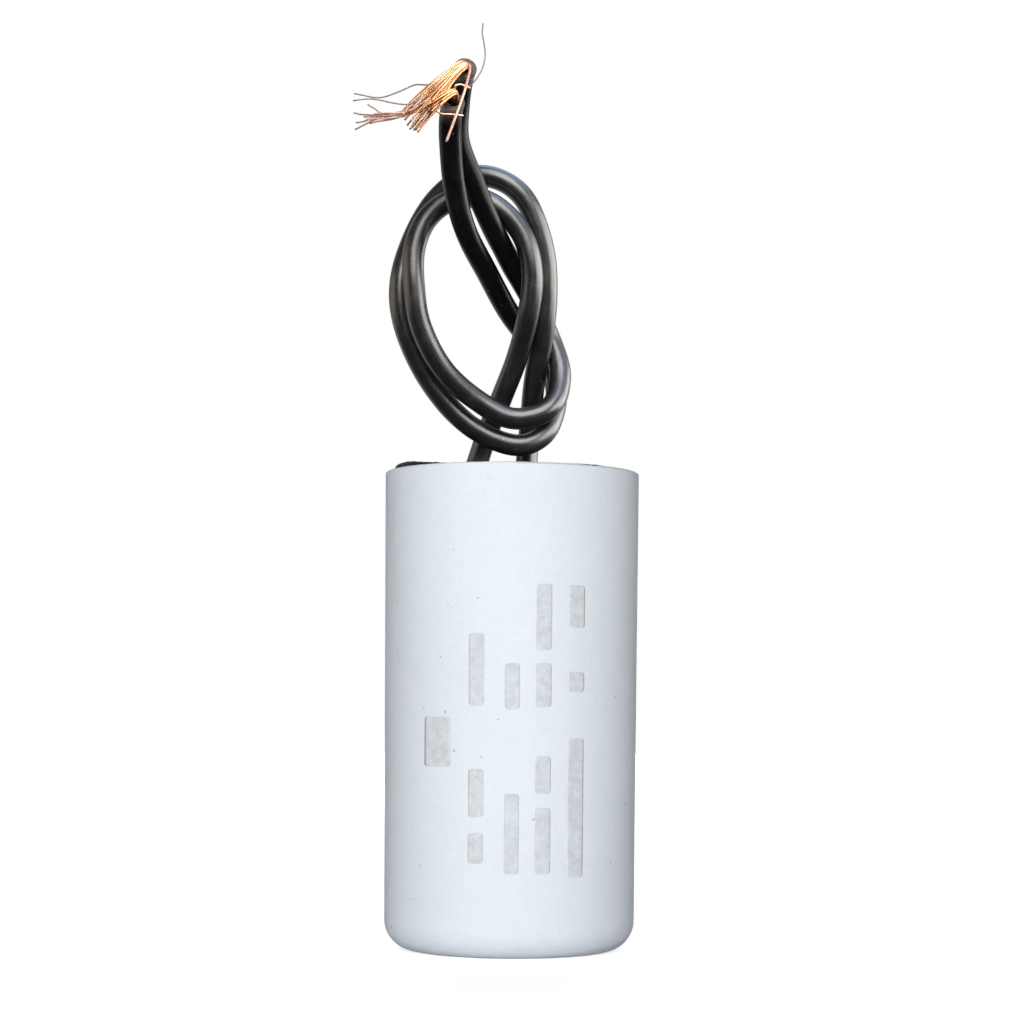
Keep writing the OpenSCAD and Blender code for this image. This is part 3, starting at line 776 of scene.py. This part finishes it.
def copper():
    """Bright drawn copper, that the dull attribute turns to handled, browned copper."""
    m = Material("bare_copper")
    tone = m.add("Attribute", attribute_name="tone").outputs["Fac"]
    dull = m.add("Attribute", attribute_name="dull").outputs["Fac"]
    where = m.position()
    cloud = m.noise(where, 700, 3, 0.6)
    # Low tones are brown and high ones pale gold. On the fan, the tones are painted highlight and painted
    # shade.
    bright = m.mix(m.ramp(tone, 0.0, 0.5), rgb(0.42, 0.15, 0.065), rgb(0.82, 0.38, 0.18))
    bright = m.mix(m.ramp(tone, 0.45, 0.95), bright, rgb(0.93, 0.66, 0.39))
    browned = m.mix(m.ramp(tone, 0.0, 0.5), rgb(0.22, 0.17, 0.14), rgb(0.50, 0.27, 0.20))
    browned = m.mix(m.ramp(tone, 0.5, 1.0), browned, rgb(0.72, 0.42, 0.33))
    colour = m.mix(dull, bright, browned)
    m.to("Base Color", m.mix(m.ramp(cloud, 0.5, 0.85, 0, 0.3), colour, rgb(0.40, 0.16, 0.08)))
    m.to("Metallic", m.ramp(dull, 0, 1, 1, 0.5))
    rough = m.ramp(cloud, 0.3, 0.7, 0.28, 0.42)
    m.to("Roughness", m.math("ADD", rough, m.ramp(dull, 0, 1, 0, 0.15)))
    m.to("Normal", m.bump(m.noise(where, 3000, 2), 0.1, 0.005 * MM))
    return m.material


def plain(name, a, b, scale, roughness, metallic=0.0, bump=0.0):
    """A material that wanders between two colours."""
    m = Material(name, Roughness=roughness, Metallic=metallic)
    where = m.position()
    grain = m.noise(where, scale, 3, 0.6)
    m.to("Base Color", m.mix(grain, rgb(*a), rgb(*b)))
    if bump:
        m.to("Normal", m.bump(grain, bump, 0.05 * MM))
    return m.material


def paint(obj, *materials):
    """Gives a piece these materials, one for each material slot of its faces."""
    faces = obj.data.polygons
    kinds = [min(face.material_index, len(materials) - 1) for face in faces]
    obj.data.materials.clear()
    for material in materials:
        obj.data.materials.append(material)
    faces.foreach_set("material_index", kinds)


white_plastic = can_plastic("can_plastic", rgb(0.80, 0.835, 0.875), rgb(0.765, 0.805, 0.855))
pvc = insulation("black_pvc", 1.0)
FREE_LEVEL = 0.15  # how strongly the free ends reflect, where the knot is 1
fading = [
    insulation(f"black_pvc_{k + 1}", round(FREE_LEVEL ** ((k + 1) / FADE_STEPS), 2))
    for k in range(FADE_STEPS)
]
black_resin, cut_pvc, dark_bore = resin(), cut_insulation(), bore()
bare = copper()
ink_material = printed_ink()

paint(nodes["case"], white_plastic)
for piece in [fill] + smears:
    paint(piece, black_resin)
for piece in ink:
    paint(piece, ink_material)
for piece in (top_lead, bottom_lead):
    paint(piece, pvc, cut_pvc, dark_bore, *fading)
top_strands = [top_fan, top_bunch, top_frayed, top_loose, top_front]
bottom_strands = [bottom_fan, bottom_stray, bottom_loose]
for piece in top_strands + bottom_strands:
    paint(piece, bare)
core = plain("core_plastic", (0.6, 0.6, 0.57), (0.7, 0.7, 0.67), 300, 0.55)
film = plain("metallised_film", (0.55, 0.56, 0.58), (0.75, 0.76, 0.78), 900, 0.25, 1.0)
wrap = plain("clear_film", (0.62, 0.58, 0.42), (0.7, 0.66, 0.5), 200, 0.2)
zinc = plain("sprayed_zinc", (0.32, 0.33, 0.34), (0.55, 0.56, 0.57), 1800, 0.6, 0.9, 0.8)
solder = plain("solder", (0.5, 0.51, 0.52), (0.66, 0.67, 0.68), 500, 0.35, 1.0, 0.2)
tinned = plain("tinned_copper", (0.6, 0.6, 0.6), (0.75, 0.74, 0.72), 900, 0.3, 1.0, 0.2)
for name, material in (
    ("winding_core", core), ("film_winding", film), ("winding_wrap", wrap),
    ("top_end_spray", zinc), ("bottom_end_spray", zinc),
    ("top_solder_joint", solder), ("bottom_solder_joint", solder),
    ("top_lead_tail", tinned), ("bottom_lead_tail", tinned),
):
    paint(nodes[name], material)

# ---- Each piece joins the root body, and the imported part that it stands for is hidden ----

for piece in [fill] + smears:
    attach(piece, "root")
    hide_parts("potting_resin")
for piece in ink:
    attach(piece, "root")
for piece, node in ((top_lead, "top_lead"), (bottom_lead, "bottom_lead")):
    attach(piece, "root")
    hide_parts(node)
for pieces, node in ((top_strands, "top_lead_strands"), (bottom_strands, "bottom_lead_strands")):
    for piece in pieces:
        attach(piece, "root")
        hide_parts(node)


# ---- Floor and light ----

WHITE = (1, 1, 1, 1)
AMBIENT = (0.066, 0.07, 0.075, 1)

# The world is white where it is seen. It lights the model faintly, and reflections find it
# dark in front and pale towards the back.
world = bpy.data.worlds.new("studio")
bpy.context.scene.world = world
world.use_nodes = True
studio = Nodes(world.node_tree)
rays = studio.add("LightPath").outputs
direction = studio.add("TexCoord").outputs["Generated"]
backwards = studio.add("SeparateXYZ", {"Vector": direction}).outputs["Y"]
pale = studio.ramp(backwards, 0.1, 0.9, 0.02, 0.7)
unseen = studio.mix(rays["Is Glossy Ray"], AMBIENT, pale)
shown = studio.math("MAXIMUM", rays["Is Camera Ray"], rays["Is Transmission Ray"])
background = studio.add("Background", {"Color": studio.mix(shown, unseen, WHITE)})
studio.add("OutputWorld", {"Surface": background.outputs[0]})


def floor():
    """White paper that glows where it is seen, so that it is white away from the model. To
    reflections it is dark in front and glows only behind the model."""
    size = 3.0
    obj = new_object(
        "floor", [(-size, -size, 0), (size, -size, 0), (size, size, 0), (-size, size, 0)],
        [(0, 1, 2, 3)], smooth=False,
    )
    m = Material("floor_paper", Roughness=0.9, Specular_IOR_Level=0.0)
    rays = m.add("LightPath").outputs
    lit, reflected = rgb(0.80, 0.80, 0.80), rgb(0.05, 0.05, 0.05)
    m.to("Base Color", m.mix(rays["Is Glossy Ray"], lit, reflected))
    away = m.add("VectorMath", {"Vector": m.position()}, operation="LENGTH").outputs["Value"]
    back = m.add("SeparateXYZ", {"Vector": m.position()}).outputs["Y"]
    behind = m.math("MULTIPLY", rays["Is Glossy Ray"], m.ramp(back, 0.0, 0.15))
    seen = m.math("MAXIMUM", rays["Is Camera Ray"], rays["Is Transmission Ray"])
    seen = m.math("MAXIMUM", seen, behind)
    strength = m.math("MULTIPLY", seen, m.ramp(away, 0.02, 0.4, 0.66, 1))
    glow = m.add("Emission", {"Color": WHITE, "Strength": strength})
    both = m.add("AddShader", {0: m.shader.outputs[0], 1: glow.outputs[0]})
    m.tree.links.new(both.outputs[0], m.out.inputs[0])
    paint(obj, m.material)


floor()


def soft_light(name, at, towards, size, power, colour, in_reflections):
    """A rectangular lamp that is seen only in reflections, or else only lights matt surfaces."""
    data = bpy.data.lights.new(name, "AREA")
    data.shape = "RECTANGLE"
    data.size, data.size_y = size
    data.energy = power
    data.color = colour
    obj = bpy.data.objects.new(name, data)
    bpy.context.scene.collection.objects.link(obj)
    obj.location = at
    obj.rotation_euler = (Vector(towards) - Vector(at)).to_track_quat("-Z", "Y").to_euler()
    obj.visible_camera = False
    obj.visible_diffuse = not in_reflections
    obj.visible_glossy = in_reflections


MIDDLE, KNOT = (0, 0, 0.05), (0, 0, 0.09)
SOFTBOX = (0.97, 0.985, 1)
soft_light("back_softbox", (0, 1.3, 0.4), MIDDLE, (1.2, 0.6), 15, SOFTBOX, False)
soft_light("front_softbox", (-0.09, -1.29, 0.3), MIDDLE, (0.5, 0.5), 16, SOFTBOX, False)
soft_light("right_panel", (1.145, -0.1, 0.2), KNOT, (1.9, 1.1), 44, (1.0, 0.97, 0.94), True)
soft_light("left_panel", (-1.13, -0.2, 0.2), KNOT, (1.2, 0.9), 5, (1.0, 0.85, 0.72), True)
soft_light("overhead", (0.1, -0.85, 0.86), KNOT, (0.9, 0.95), 20, (1.0, 0.98, 0.95), True)
soft_light("sky", (0.35, 0.2, 1.1), KNOT, (1.6, 0.9), 13, (0.5, 0.68, 1.0), True)

bpy.context.scene.view_settings.view_transform = "Standard"
